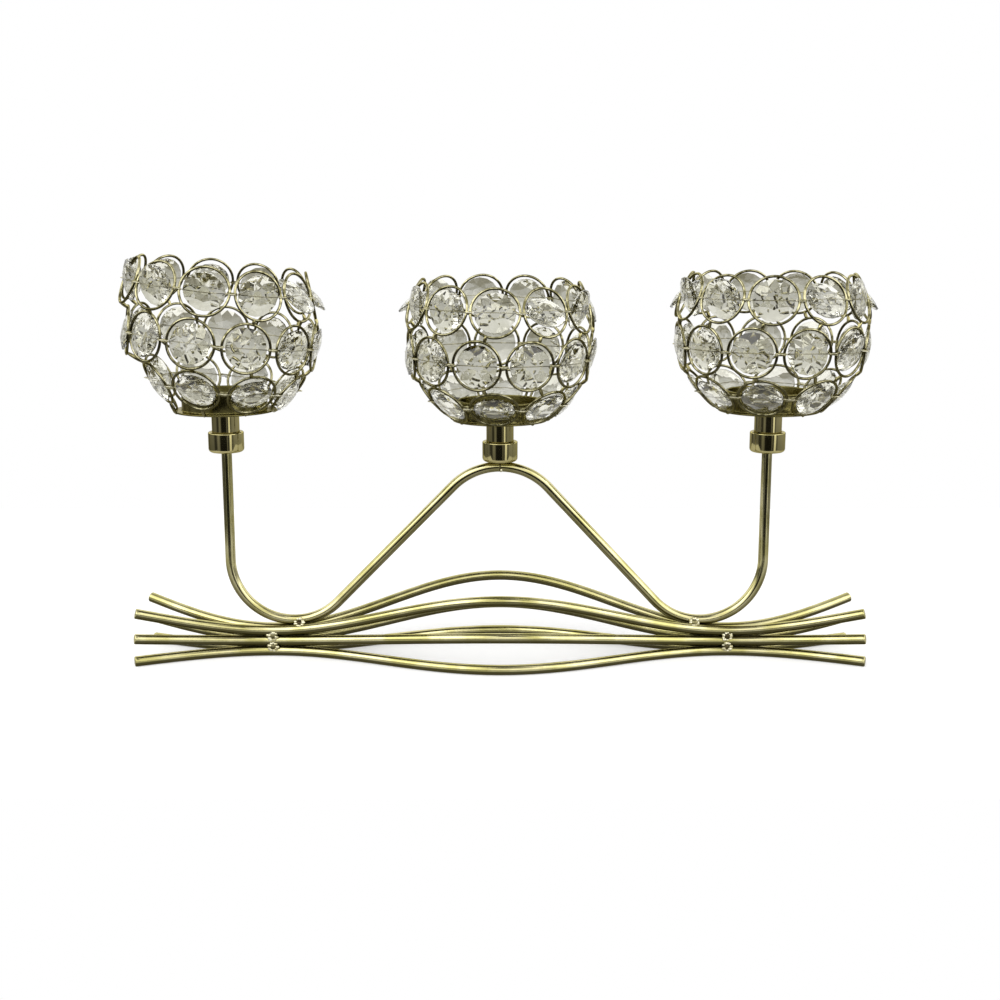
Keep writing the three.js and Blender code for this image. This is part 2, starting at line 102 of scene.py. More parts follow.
# Solder: weld beads with bright flecks round a dark middle, the seam of the arms, and drops on the rings.
BEAD_RISE_SHARE = 0.66
BEAD_MIDDLE = (2.2, 1.3, 1.7)
BEAD_LUMPS = 0.3
FLECKS = 9
FLECK_ELLIPSE = (2.2, 2.1)
FLECK_SIZE = (1.25, 0.95, 0.9)
FLECK_SCALES = (0.65, 1.1)
FLECK_RISES = (0.3, 0.8)
FLECK_UNEVENNESS = 0.3
FLECK_LUMPS = 0.4
SEAM_SIZE = (0.85, 2.88, 2.88)
SEAM_LUMPS = 0.02
SEAM_DROP_PLACE = (0.7, -2.2, -1.7)
SEAM_DROP_SIZE = (0.75, 0.75, 1.0)
SEAM_DROP_LUMPS = 0.25
DROP_RADII = (0.95, 0.98)
DROP_OVERLAP = 0.75
DROP_LUMPS = 0.22
FLANGE_DROP_REACH = 0.1

# Wires. A ring is a little oval and a little three-sided, as a hand bends it.
ROUND_WIRE_RADIUS = 0.72
OVAL = 0.09
THREE_SIDED = 0.05
LARGEST_PHASE = 6
THREE_SIDED_PHASE = 1.0
BINDING_RADIUS = 0.2
KNOT_FILL_SHARE = 0.7
KNOT_SQUARENESS = 0.72
KNOT_WANDER = 0.12
KNOT_WANDER_RATE = 2.3
THREAD_SHARES = (-0.98, -0.6, 0.0, 0.6, 0.98)
THREAD_WANDER = 0.25
THREAD_WANDER_STEP = 2.1

# A stone has this many table corners. Each side has a sign, a table radius, a star radius and a height.
FOLDS = 8
GIRDLE_HEIGHT = 0.45
CRYSTAL_SIDES = ((1, 4.6, 7.7, 2.7), (-1, 2.4, 6.4, 3.0))

# Fineness of the meshes. A drop of solder has rings and segments.
ROD_SIDES = 24
ROD_STATIONS = 161
APEX_STEPS = 24
SLANT_SHARES = np.linspace(0.02, 0.98, 24)
STEM_BEND_STEPS = 48
STEM_FIRST_STEP = 1
STEM_STATIONS = 12
FLECK_FINENESS = (6, 9)
DROP_FINENESS = (8, 10)
SEAM_FINENESS = (16, 24)
TURNED_SEGMENTS = 64
CUP_SEGMENTS = 72
RING_STATIONS = 56
WIRE_SIDES = 12
BINDING_SIDES = 7
BINDING_STEPS_PER_TURN = 18
THREAD_SIDES = 8
RING_SEARCH_STEPS = 144
FLANGE_SEARCH_STEPS = 360
TURNED_SHARP_ANGLE = 32.0
ROD_SHARP_ANGLE = 50.0

# Seeds of the random draws.
BEAD_SEED = 100
FLECK_SEED_STEP = 20
SEAM_SEED = 7
RING_SEED = 1000
RING_SEED_STEP = 10
DROP_SEED = 17
random = np.random.default_rng(7)

# The solid rods have eight sides, and the floor rods lie on a flat one.
SOLID_ROD_SIDES = 8
COURSE_PITCH = 2 * ROD_RADIUS + CLEARANCE
FLOOR_COURSE_Z = ROD_RADIUS * math.cos(math.pi / SOLID_ROD_SIDES)
ROD_COURSES = [
    ("floor", FLOOR_COURSE_Z),
    ("middle", FLOOR_COURSE_Z + COURSE_PITCH),
    ("top", FLOOR_COURSE_Z + 2 * COURSE_PITCH),
]
# At the necks an arm lies in the groove between the two top rods.
ARM_LOW_Z = ROD_COURSES[2][1] + COURSE_PITCH * math.sin(math.pi / 3) + CLEARANCE
CENTRE_SOCKET_Z = APEX_Z + ROD_RADIUS + CLEARANCE
RING_REACH = RING_RADIUS + WIRE_RADIUS

# An arm has a side and the X of its stem. A course has a count of rings, the width of its knots, the turns of
# wire on a knot, and how far its stones rock. A light has the height of its lowest rings over its cup's foot,
# the girth that widens its cage, its lean to a side, its nod, and a tilt and a first azimuth for each course.
ARMS = [("left", -1, -147.0), ("right", 1, 143.6)]
COURSES = [
    {"name": "bottom", "count": 8, "knot": 2.5, "turns": 2.4, "rocking": 10.0},
    {"name": "middle", "count": 11, "knot": 1.3, "turns": 3.4, "rocking": 14.0},
    {"name": "top", "count": 11, "knot": 0.4, "turns": 3.4, "rocking": 40.0},
]
LIGHTS = [
    {"name": "left", "x": -147.0, "z": SIDE_SOCKET_Z, "lift": 3.2, "girth": 1.4, "lean": 6.2, "nod": 0.0,
     "tilts": {"bottom": -34.0, "middle": -1.0, "top": 17.0},
     "phases": {"bottom": -11.9, "middle": -7.9, "top": 1.4}},
    {"name": "centre", "x": 0.0, "z": CENTRE_SOCKET_Z, "lift": 1.5, "girth": 0.0, "lean": 0.9, "nod": 2.5,
     "tilts": {"bottom": -41.0, "middle": -5.0, "top": 18.0},
     "phases": {"bottom": -4.8, "middle": -14.2, "top": -3.0}},
    {"name": "right", "x": 143.6, "z": SIDE_SOCKET_Z, "lift": 0.5, "girth": 0.9, "lean": 0.4, "nod": 0.0,
     "tilts": {"bottom": -40.0, "middle": -7.0, "top": 19.0},
     "phases": {"bottom": -16.2, "middle": -21.5, "top": -9.9}},
]
for course in COURSES:
    course["radius"] = (RING_REACH + course["knot"] / 2) / math.tan(math.pi / course["count"])
for light in LIGHTS:
    light["heights"] = {}
    foot = light["lift"]
    for course in COURSES:
        half_height = RING_REACH * math.cos(math.radians(light["tilts"][course["name"]]))
        light["heights"][course["name"]] = foot + half_height
        foot += 2 * half_height + COURSE_GAP


def flange_radius(light):
    """The flange of a cup ends just inside the feet of its bottom rings."""
    foot_radius = COURSES[0]["radius"] + light["girth"]
    foot_radius += RING_REACH * math.sin(math.radians(light["tilts"]["bottom"]))
    out_of_true = math.radians(math.hypot(light["lean"], light["nod"]))
    return foot_radius - light["heights"]["bottom"] * math.sin(out_of_true) - CLEARANCE


CUP_RADIUS = min(map(flange_radius, LIGHTS)) - FLANGE_WIDTH


# Mesh building.
class Shape:
    """Vertices and faces of one piece, in millimetres, each face with its material and shading."""

    def __init__(self):
        self.vertices = []
        self.faces = []
        self.slots = []
        self.smooth = []

    def add(self, vertices, faces, slot=0, smooth=True):
        first = len(self.vertices)
        self.vertices.extend(np.asarray(vertices, float).tolist())
        self.faces.extend([[first + corner for corner in face] for face in faces])
        self.slots.extend([slot] * len(faces))
        self.smooth.extend([smooth] * len(faces))

    def piece(self, name, materials, body, node=None, sharp=None):
        mesh = bpy.data.meshes.new(name)
        points = (np.array(self.vertices) + SHIFT) * MM
        mesh.from_pydata(points.tolist(), [], self.faces)
        mesh.polygons.foreach_set("material_index", self.slots)
        mesh.polygons.foreach_set("use_smooth", self.smooth)
        for material in materials:
            mesh.materials.append(material)
        mesh.update()
        if sharp:
            mesh.set_sharp_from_angle(angle=math.radians(sharp))
        thing = bpy.data.objects.new(name, mesh)
        bpy.context.scene.collection.objects.link(thing)
        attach(thing, body)
        if node:
            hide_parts(node)


def unit(vector):
    vector = np.asarray(vector, float)
    return vector / np.linalg.norm(vector)


def tube(points, radii, sides, closed=False):
    """A round wire along points, without twist."""
    nearly_along_z = 0.2
    points = np.asarray(points, float)
    count = len(points)
    radii = np.full(count, radii, float) if np.isscalar(radii) else np.asarray(radii, float)
    if closed:
        tangents = np.roll(points, -1, 0) - np.roll(points, 1, 0)
    else:
        tangents = np.gradient(points, axis=0)
    tangents /= np.linalg.norm(tangents, axis=1)[:, None]
    start = np.cross(tangents[0], [0.0, 0.0, 1.0])
    if np.linalg.norm(start) < nearly_along_z:
        start = np.cross(tangents[0], [0.0, 1.0, 0.0])
    normals = [unit(start)]
    for tangent in tangents[1:]:
        last = normals[-1]
        normals.append(unit(last - tangent * (last @ tangent)))
    normals = np.array(normals)
    if closed:
        back = unit(normals[-1] - tangents[0] * (normals[-1] @ tangents[0]))
        turn = math.atan2(np.cross(back, normals[0]) @ tangents[0], back @ normals[0])
        angles = turn * np.arange(count) / count
        sideways = np.cross(tangents, normals)
        normals = normals * np.cos(angles)[:, None] + sideways * np.sin(angles)[:, None]
    binormals = np.cross(tangents, normals)
    around = 2 * np.pi * np.arange(sides) / sides
    ring = np.cos(around)[None, :, None] * normals[:, None, :]
    ring = ring + np.sin(around)[None, :, None] * binormals[:, None, :]
    vertices = (points[:, None, :] + radii[:, None, None] * ring).reshape(-1, 3)
    faces = []
    for place in range(count if closed else count - 1):
        here = place * sides
        ahead = ((place + 1) % count) * sides
        for side in range(sides):
            after = (side + 1) % sides
            faces.append([here + side, here + after, ahead + after, ahead + side])
    if not closed:
        faces.append(list(range(sides))[::-1])
        faces.append([(count - 1) * sides + side for side in range(sides)])
    return vertices, faces


def rounded_ends(points, radius, edge):
    """Stations added so that the ends of a rod are cut square with a small round on the edge."""
    clear_of_round = edge * 1.4
    points = np.asarray(points, float)
    radii = np.full(len(points), radius)
    for _ in range(2):
        inward = unit(points[1] - points[0])
        extra, extra_radii = [], []
        for angle in (0.0, 30.0, 60.0, 90.0):
            share = math.radians(angle)
            extra.append(points[0] + inward * edge * (1 - math.sin(share)))
            extra_radii.append(radius - edge * (1 - math.cos(math.pi / 2 - share)))
        order = np.argsort([(place - points[0]) @ inward for place in extra])
        extra = np.array(extra)[order]
        extra_radii = np.sort(np.array(extra_radii))
        keep = np.array([(point - points[0]) @ inward > clear_of_round for point in points])
        keep[len(points) // 2:] = True
        points = np.concatenate([extra, points[keep]])[::-1]
        radii = np.concatenate([extra_radii, radii[keep]])[::-1]
    return points, radii


def fillet(profile, sizes, steps=4):
    """A profile of (radius, height) points with its corners rounded."""
    largest_share = 0.49
    made = [profile[0]]
    for before, here, after, size in zip(profile, profile[1:], profile[2:], sizes[1:]):
        if size <= 0:
            made.append(here)
            continue
        here = np.array(here, float)
        back, forth = np.array(before, float) - here, np.array(after, float) - here
        reach = min(np.linalg.norm(back), np.linalg.norm(forth)) * largest_share
        back, forth = unit(back), unit(forth)
        half = math.acos(max(-1.0, min(1.0, float(back @ forth)))) / 2
        along = min(size / math.tan(half), reach)
        radius = along * math.tan(half)
        centre = here + unit(back + forth) * radius / math.sin(half)
        start, end = here + back * along - centre, here + forth * along - centre
        sweep = math.atan2(start[0] * end[1] - start[1] * end[0], float(start @ end))
        for step in range(steps + 1):
            angle = sweep * step / steps
            cos, sin = math.cos(angle), math.sin(angle)
            made.append(tuple(centre + [start[0] * cos - start[1] * sin, start[0] * sin + start[1] * cos]))
    made.append(profile[-1])
    return made


def lathe(profile, segments, centre):
    """A turned piece about a vertical axis. The profile starts and ends on the axis."""
    around = 2 * np.pi * np.arange(segments) / segments
    vertices = [[centre[0], centre[1], centre[2] + profile[0][1]]]
    for radius, height in profile[1:-1]:
        for angle in around:
            vertices.append([centre[0] + radius * math.cos(angle), centre[1] + radius * math.sin(angle),
                             centre[2] + height])
    vertices.append([centre[0], centre[1], centre[2] + profile[-1][1]])
    rows = len(profile) - 2
    last = len(vertices) - 1
    faces = []
    for segment in range(segments):
        after = (segment + 1) % segments
        faces.append([0, 1 + after, 1 + segment])
        for row in range(rows - 1):
            low, high = 1 + row * segments, 1 + (row + 1) * segments
            faces.append([low + segment, low + after, high + after, high + segment])
        top = 1 + (rows - 1) * segments
        faces.append([top + segment, top + after, last])
    return vertices, faces


def blob(centre, axes, sizes, lumps, seed, rings=7, segments=12):
    """A drop of solder: an ellipsoid with six lumps or dents, each at most the share lumps of its size."""
    draw = np.random.default_rng(seed)
    lobes = [(unit(draw.normal(size=3)), draw.uniform(-lumps, lumps)) for _ in range(6)]
    vertices = []
    for ring in range(rings + 1):
        polar = math.pi * ring / rings
        for segment in range(segments if 0 < ring < rings else 1):
            angle = 2 * math.pi * segment / segments
            way = np.array([math.sin(polar) * math.cos(angle), math.sin(polar) * math.sin(angle),
                            math.cos(polar)])
            swell = 1 + sum(size * max(0.0, float(way @ lobe)) ** 3 for lobe, size in lobes)
            local = way * sizes * swell
            vertices.append(np.asarray(centre) + local[0] * axes[0] + local[1] * axes[1]
                            + local[2] * axes[2])
    faces = []
    last = len(vertices) - 1
    for segment in range(segments):
        after = (segment + 1) % segments
        faces.append([0, 1 + segment, 1 + after])
        for ring in range(rings - 2):
            low, high = 1 + ring * segments, 1 + (ring + 1) * segments
            faces.append([low + segment, high + segment, high + after, low + after])
        low = 1 + (rings - 2) * segments
        faces.append([low + segment, last, low + after])
    return vertices, faces


# Shader nodes.
def plug(links, value, socket):
    """Gives a socket a number, a colour or the output of another node."""
    if isinstance(value, bpy.types.NodeSocket):
        links.new(value, socket)
    elif isinstance(value, tuple):
        socket.default_value = (*value, 1.0)
    else:
        socket.default_value = value


def noise(nodes, links, coordinates, scale, detail):
    texture = nodes.new("ShaderNodeTexNoise")
    plug(links, scale, texture.inputs["Scale"])
    plug(links, detail, texture.inputs["Detail"])
    plug(links, coordinates.outputs["Object"], texture.inputs["Vector"])
    return texture.outputs["Fac"]


def ramp(nodes, links, value, stops):
    band = nodes.new("ShaderNodeValToRGB")
    elements = band.color_ramp.elements
    while len(elements) < len(stops):
        elements.new(0.5)
    for element, (position, colour) in zip(elements, stops):
        element.position = position
        element.color = (*colour, 1.0)
    plug(links, value, band.inputs["Fac"])
    return band.outputs["Color"]


def span(nodes, links, value, source, target=(0.0, 1.0), smooth=False):
    """A value taken from one range to another."""
    change = nodes.new("ShaderNodeMapRange")
    if smooth:
        change.interpolation_type = "SMOOTHSTEP"
    plug(links, value, change.inputs["Value"])
    plug(links, source[0], change.inputs["From Min"])
    plug(links, source[1], change.inputs["From Max"])
    plug(links, target[0], change.inputs["To Min"])
    plug(links, target[1], change.inputs["To Max"])
    return change.outputs["Result"]


def mixed(nodes, links, share, first, second):
    """The first colour where the share is 0, the second where it is 1."""
    mix = nodes.new("ShaderNodeMix")
    mix.data_type = "RGBA"
    plug(links, share, mix.inputs["Factor"])
    plug(links, first, mix.inputs["A"])
    plug(links, second, mix.inputs["B"])
    return mix.outputs["Result"]


def worked_out(nodes, links, operation, first, second):
    step = nodes.new("ShaderNodeMath")
    step.operation = operation
    plug(links, first, step.inputs[0])
    plug(links, second, step.inputs[1])
    return step.outputs[0]


def add_relief(nodes, links, shader, height, strength, depth):
    relief = nodes.new("ShaderNodeBump")
    plug(links, strength, relief.inputs["Strength"])
    plug(links, depth, relief.inputs["Distance"])
    plug(links, height, relief.inputs["Height"])
    plug(links, relief.outputs["Normal"], shader.inputs["Normal"])


def node_material(name):
    material = bpy.data.materials.new(name)
    material.use_nodes = True
    nodes, links = material.node_tree.nodes, material.node_tree.links
    shader = nodes["Principled BSDF"]
    coordinates = nodes.new("ShaderNodeTexCoord")
    return material, nodes, links, shader, coordinates


# Materials. A band is the stretch of a noise's values that shows. Faces that look down get painted shade, a
# near-black colour that stands in for the dark reflection below them. The painted shade fades in where the
# upward share of a face's normal falls from the edge value to its opposite.
# The colour of the painted shade, and the upward share of a face's normal where it begins.
PAINTED_SHADE = (0.040, 0.035, 0.014)
PAINTED_SHADE_EDGE = 0.16
EDGE_TINT = (0.60, 0.57, 0.44)
TONE_DETAIL = 3.0
TONE_BAND = (0.38, 0.62)
SMUDGE_SCALE = 140.0
SMUDGE_DETAIL = 4.0
SMUDGE_BAND = (0.3, 0.7)
GRAIN_DETAIL = 2.0
METAL_RELIEF_DEPTH = 0.0001
CLOUD_SCALE = 90.0
CLOUD_DETAIL = 2.0
CLOUD_BAND = (0.35, 0.65)
CRYSTAL_GREY = (0.73, 0.72, 0.62)
CRYSTAL_CLEAR = (0.83, 0.82, 0.75)
CRYSTAL_INDEX = 1.5
WAVE_SCALE = 200.0
WAVE_DETAIL = 1.0
WAVE_STRENGTH = 0.03
WAVE_DEPTH = 0.0002


def metal(name, pale, deep, rough, rough_spread, bump, grain, painted_shade_share, patch=60.0):
    """Plated metal: its tone and polish vary softly, painted shade darkens its underside, and its grain is
    fine.
    """
    material, nodes, links, shader, coordinates = node_material(name)
    tone = noise(nodes, links, coordinates, patch, TONE_DETAIL)
    colour = ramp(nodes, links, tone, [(TONE_BAND[0], deep), (TONE_BAND[1], pale)])
    # Painted shade: faces that look down are mixed towards a near-black colour, up to the given share.
    facing = nodes.new("ShaderNodeSeparateXYZ")
    plug(links, coordinates.outputs["Normal"], facing.inputs[0])
    painted_shade_mask = span(nodes, links, facing.outputs["Z"], (PAINTED_SHADE_EDGE, -PAINTED_SHADE_EDGE), (0.0, painted_shade_share), True)
    smudge = noise(nodes, links, coordinates, SMUDGE_SCALE, SMUDGE_DETAIL)
    polish = span(nodes, links, smudge, SMUDGE_BAND, (rough, rough + rough_spread))
    plug(links, 1.0, shader.inputs["Metallic"])
    plug(links, mixed(nodes, links, painted_shade_mask, colour, PAINTED_SHADE), shader.inputs["Base Color"])
    plug(links, EDGE_TINT, shader.inputs["Specular Tint"])
    plug(links, polish, shader.inputs["Roughness"])
    fine = noise(nodes, links, coordinates, grain, GRAIN_DETAIL)
    add_relief(nodes, links, shader, fine, bump, METAL_RELIEF_DEPTH)
    return material


def glass(name):
    """Clear cut crystal with the slight waviness of pressed and polished facets."""
    material, nodes, links, shader, coordinates = node_material(name)
    cloud = noise(nodes, links, coordinates, CLOUD_SCALE, CLOUD_DETAIL)
    tint = ramp(nodes, links, cloud, [(CLOUD_BAND[0], CRYSTAL_GREY), (CLOUD_BAND[1], CRYSTAL_CLEAR)])
    plug(links, tint, shader.inputs["Base Color"])
    plug(links, 1.0, shader.inputs["Transmission Weight"])
    plug(links, 0.0, shader.inputs["Roughness"])
    plug(links, CRYSTAL_INDEX, shader.inputs["IOR"])
    waves = noise(nodes, links, coordinates, WAVE_SCALE, WAVE_DETAIL)
    add_relief(nodes, links, shader, waves, WAVE_STRENGTH, WAVE_DEPTH)
    return material


# Each metal darkens its faces that look down with painted shade, by the share that follows its grain.
rod_gold = metal("rod_gold", pale=(0.54, 0.50, 0.28), deep=(0.38, 0.35, 0.14),
                 rough=0.10, rough_spread=0.10, bump=0.10, grain=900.0, painted_shade_share=0.95)
arm_gold = metal("arm_gold", pale=(0.52, 0.48, 0.27), deep=(0.36, 0.33, 0.14),
                 rough=0.10, rough_spread=0.08, bump=0.08, grain=900.0, painted_shade_share=0.72)
collar_gold = metal("collar_gold", pale=(0.44, 0.39, 0.19), deep=(0.36, 0.32, 0.14),
                    rough=0.06, rough_spread=0.05, bump=0.05, grain=700.0, painted_shade_share=0.3)
wire_gold = metal("wire_gold", pale=(0.44, 0.41, 0.25), deep=(0.11, 0.10, 0.045),
                  rough=0.10, rough_spread=0.10, bump=0.75, grain=1300.0, painted_shade_share=0.93, patch=300.0)
cup_gold = metal("cup_gold", pale=(0.26, 0.23, 0.09), deep=(0.17, 0.15, 0.05),
                 rough=0.16, rough_spread=0.12, bump=0.12, grain=600.0, painted_shade_share=0.8)
binding_wire = metal("binding_wire", pale=(0.66, 0.62, 0.38), deep=(0.20, 0.18, 0.08),
                     rough=0.14, rough_spread=0.12, bump=0.30, grain=2500.0, painted_shade_share=0.8, patch=400.0)
thread_wire = metal("thread_wire", pale=(0.74, 0.71, 0.56), deep=(0.50, 0.47, 0.32),
                    rough=0.15, rough_spread=0.15, bump=0.20, grain=2500.0, painted_shade_share=0.5)
joint_solder = metal("joint_solder", pale=(0.56, 0.51, 0.26), deep=(0.16, 0.14, 0.06),
                     rough=0.20, rough_spread=0.20, bump=0.60, grain=1400.0, painted_shade_share=0.8, patch=300.0)
solder_metal = metal("solder_metal", pale=(0.92, 0.89, 0.70), deep=(0.46, 0.42, 0.24),
                     rough=0.18, rough_spread=0.20, bump=0.8, grain=1400.0, painted_shade_share=0.4, patch=300.0)
dark_solder = metal("dark_solder", pale=(0.20, 0.18, 0.09), deep=(0.05, 0.04, 0.02),
                    rough=0.25, rough_spread=0.20, bump=0.8, grain=1400.0, painted_shade_share=0.6)
crystal_glass = glass("crystal_glass")


# Base rods and arms.
def outward(x):
    """How far a base rod stands out from its neck: bowed between the necks, splayed outside them."""
    reach = abs(x)
    if reach < NECK_X:
        return BOW * (1 + math.cos(math.pi * reach / NECK_X)) / 2
    share = (reach - NECK_X) / (ROD_HALF_LENGTH - NECK_X)
    return SPLAY * (1 - math.cos(math.pi * share / 2))


def rod_centre(side, course_name, z, x):
    fan = math.radians(FAN_ANGLES[course_name])
    out = outward(x)
    return np.array([x, side * (COURSE_PITCH / 2 + out * math.cos(fan)), z + out * math.sin(fan)])


def add_rod(node, points, edge, material):
    shape = Shape()
    shape.add(*tube(*rounded_ends(points, ROD_RADIUS, edge), ROD_SIDES))
    shape.piece(f"{node}_round", [material], "stand", node, ROD_SHARP_ANGLE)


def add_base_rods():
    places = np.linspace(-ROD_HALF_LENGTH, ROD_HALF_LENGTH, ROD_STATIONS)
    for name, z in ROD_COURSES:
        for side_name, side in (("front", -1), ("back", 1)):
            points = [rod_centre(side, name, z, x) for x in places]
            add_rod(f"{side_name}_{name}_rod", points, ROD_END_ROUND, rod_gold)


def arc(centre_x, centre_z, radius, start, end, steps):
    return [(centre_x + radius * math.cos(angle), centre_z + radius * math.sin(angle))
            for angle in np.linspace(start, end, steps + 1)]


def arm_points(side, stem_x, top_z):
    """An arm from the apex down its slope, round the bend and up the stem."""
    reach = abs(stem_x)
    bend_x = reach - STEM_BEND_RADIUS
    bend_z = ARM_LOW_Z + STEM_BEND_RADIUS
    apex_centre = APEX_Z - APEX_BEND_RADIUS
    spacing = math.hypot(bend_x, bend_z - apex_centre)
    slope = math.asin((APEX_BEND_RADIUS + STEM_BEND_RADIUS) / spacing)
    slope -= math.atan2(bend_z - apex_centre, bend_x)
    start = math.acos(CLEARANCE / 2 / APEX_BEND_RADIUS)
    first = arc(0, apex_centre, APEX_BEND_RADIUS, start, math.pi / 2 - slope, APEX_STEPS)
    second = arc(bend_x, bend_z, STEM_BEND_RADIUS, 1.5 * math.pi - slope, 2 * math.pi, STEM_BEND_STEPS)
    (x0, z0), (x1, z1) = first[-1], second[0]
    slant = [(x0 + (x1 - x0) * share, z0 + (z1 - z0) * share) for share in SLANT_SHARES]
    stem = [(reach, z) for z in np.linspace(bend_z + STEM_FIRST_STEP, top_z, STEM_STATIONS)]
    return np.array([(side * x, 0.0, z) for x, z in [*first, *slant, *second, *stem]])


def add_arms():
    top_z = SIDE_SOCKET_Z + STEM_SEAT_DEPTH - CLEARANCE
    for name, side, stem_x in ARMS:
        add_rod(f"{name}_arm_rod", arm_points(side, stem_x, top_z), ARM_END_ROUND, arm_gold)


# Welds.
def add_bead(node, lower, upper, outwards, seed):
    """Solder in the groove between two rods: bright flecks round a dark middle."""
    along = np.array([1.0, 0.0, 0.0])
    across = unit(upper - lower)
    out = unit(np.cross(along, across))
    if out @ outwards < 0:
        out = -out
    over = np.cross(along, out)
    axes = (along, out, over)
    middle = (lower + upper) / 2 + out * (ROD_RADIUS * BEAD_RISE_SHARE)
    shape = Shape()
    shape.add(*blob(middle, axes, np.array(BEAD_MIDDLE), BEAD_LUMPS, seed), slot=1)
    for number in range(FLECKS):
        angle = 2 * math.pi * (number + random.uniform(-FLECK_UNEVENNESS, FLECK_UNEVENNESS)) / FLECKS
        spot = middle + along * (FLECK_ELLIPSE[0] * math.cos(angle))
        spot = spot + over * (FLECK_ELLIPSE[1] * math.sin(angle))
        spot = spot + out * random.uniform(*FLECK_RISES)
        size = np.array(FLECK_SIZE) * random.uniform(*FLECK_SCALES)
        fleck_seed = seed * FLECK_SEED_STEP + number
        shape.add(*blob(spot, axes, size, FLECK_LUMPS, fleck_seed, *FLECK_FINENESS))
    shape.piece(f"{node}_bead", [solder_metal, dark_solder], "stand", node)


def add_welds():
    seed = BEAD_SEED
    for name, side, stem_x in ARMS:
        for side_name, face in (("front", -1), ("back", 1)):
            outwards = np.array([0.0, face, 0.0])
            floor, middle, top = [rod_centre(face, n, z, side * NECK_X) for n, z in ROD_COURSES]
            add_bead(f"{name}_{side_name}_lower_weld", floor, middle, outwards, seed)
            add_bead(f"{name}_{side_name}_upper_weld", middle, top, outwards, seed + 1)
            reach = abs(stem_x) - STEM_BEND_RADIUS - WELD_FROM_LOW_POINT
            rise = STEM_BEND_RADIUS - math.sqrt(STEM_BEND_RADIUS ** 2 - WELD_FROM_LOW_POINT ** 2)
            arm = np.array([side * reach, 0.0, ARM_LOW_Z + rise])
            rod = rod_centre(face, "top", ROD_COURSES[2][1], side * reach)
            add_bead(f"{name}_{side_name}_arm_weld", rod, arm, outwards, seed + 2)
            seed += 3


def add_seam():
    """The two arms meet under the centre socket in a seam of solder with a drop at its foot."""
    shape = Shape()
    axes = np.eye(3)
    apex = np.array([0, 0, APEX_Z])
    shape.add(*blob(apex, axes, np.array(SEAM_SIZE), SEAM_LUMPS, SEAM_SEED, *SEAM_FINENESS), slot=1)
    shape.add(*blob(apex + SEAM_DROP_PLACE, axes, np.array(SEAM_DROP_SIZE), SEAM_DROP_LUMPS, SEAM_SEED + 1))
    shape.piece("apex_solder", [solder_metal, dark_solder], "stand")


# Sockets, spigots and cups.
def add_turned(light, part, body, foot_z, corners, segments, material):
    """A turned piece on a light's axis. A corner of its profile has a radius, a height and a round."""
    profile = [(radius, height) for radius, height, _ in corners]
    rounds = [size for _, _, size in corners]
    node = f"{light['name']}_{part}"
    shape = Shape()
    shape.add(*lathe(fillet(profile, rounds), segments, (light["x"], 0, foot_z)))
    shape.piece(f"{node}_turned", [material], body, node, TURNED_SHARP_ANGLE)


def add_socket(light):
    seat = ROD_RADIUS + CLEARANCE
    inner = SOCKET_HEIGHT - SOCKET_DEPTH
    swell = SOCKET_RADIUS + COLLAR_SWELL
    if light["name"] == "centre":
        underside = [(0, 0, 0)]
    else:
        underside = [(0, STEM_SEAT_DEPTH, 0), (seat, STEM_SEAT_DEPTH, 0), (seat, 0, SEAT_ROUND)]
    corners = [
        *underside, (swell, 0, COLLAR_FOOT_ROUND), (swell, SOCKET_HEIGHT, COLLAR_TOP_ROUND),
        (SOCKET_BORE, SOCKET_HEIGHT, BORE_ROUND), (SOCKET_BORE, inner, 0), (0, inner, 0),
    ]
    add_turned(light, "socket", "stand", light["z"], corners, TURNED_SEGMENTS, collar_gold)


def add_spigot(light):
    top = SPIGOT_EXPOSED - CLEARANCE
    corners = [
        (0, -SPIGOT_SUNK, 0), (SPIGOT_RADIUS, -SPIGOT_SUNK, SPIGOT_FOOT_ROUND),
        (SPIGOT_RADIUS, top, SPIGOT_TOP_ROUND), (0, top, 0),
    ]
    foot_z = light["z"] + SOCKET_HEIGHT
    add_turned(light, "spigot", f"{light['name']}_spigot", foot_z, corners, TURNED_SEGMENTS, collar_gold)


def add_cup(light):
    rim = flange_radius(light)
    lip = CUP_RADIUS + LIP_WIDTH
    inside = CUP_RADIUS - CUP_WALL
    corners = [
        (0, 0, 0), (rim, 0, FLANGE_FOOT_ROUND), (rim, FLANGE_THICKNESS, FLANGE_TOP_ROUND),
        (CUP_RADIUS, FLANGE_THICKNESS, CUP_FOOT_ROUND), (CUP_RADIUS, CUP_HEIGHT - LIP_FOOT, LIP_ROUND),
        (lip, CUP_HEIGHT - LIP_HEIGHT, LIP_ROUND), (lip, CUP_HEIGHT, RIM_ROUND),
        (inside, CUP_HEIGHT, RIM_ROUND), (inside, CUP_FLOOR, CUP_FLOOR_ROUND), (0, CUP_FLOOR, 0),
    ]
    foot_z = light["z"] + SOCKET_HEIGHT + SPIGOT_EXPOSED
    add_turned(light, "cup", f"{light['name']}_bowl", foot_z, corners, CUP_SEGMENTS, cup_gold)


# Cages of rings, their bindings and crystals.
def moved(matrix, points):
    points = np.atleast_2d(np.asarray(points, float))
    return points @ matrix[:3, :3].T + matrix[:3, 3]


def seat_matrix(light, course, seat):
    """Where a ring sits in its course: X along the course, Z out of the ring."""
    azimuth = math.radians(light["phases"][course["name"]]) + 2 * math.pi * seat / course["count"]
    tilt = math.radians(light["tilts"][course["name"]])
    out = np.array([math.sin(azimuth), -math.cos(azimuth), 0.0])
    along = np.array([math.cos(azimuth), math.sin(azimuth), 0.0])
    normal = out * math.cos(tilt) + np.array([0.0, 0.0, math.sin(tilt)])
    matrix = np.eye(4)
    matrix[:3, 0], matrix[:3, 1], matrix[:3, 2] = along, np.cross(normal, along), normal
    matrix[:3, 3] = out * (course["radius"] + light["girth"])
    return matrix


